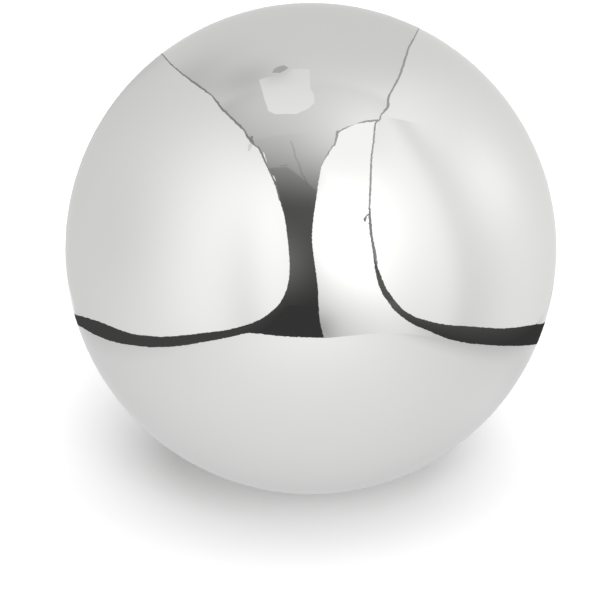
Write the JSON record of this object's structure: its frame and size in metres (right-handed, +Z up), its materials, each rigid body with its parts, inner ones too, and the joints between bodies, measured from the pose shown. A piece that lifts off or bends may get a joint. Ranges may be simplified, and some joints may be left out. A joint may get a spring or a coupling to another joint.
{
  "type": "steel ball",
  "caption": "Solid steel ball with a plain mirror-polished spherical surface, for rolling, locating, weighting or holding down.",
  "frame": {"origin": "centre of the ball", "axes": "+Z up as the ball stands in the picture, which looks along +Y from the front and a little above; every axis through the centre is an axis of symmetry"},
  "size_m": [0.05, 0.05, 0.05],
  "materials": {
    "polished_steel": "polished"
  },
  "bodies": {
    "root": {"ball": "polished_steel"}
  },
  "joints": []
}
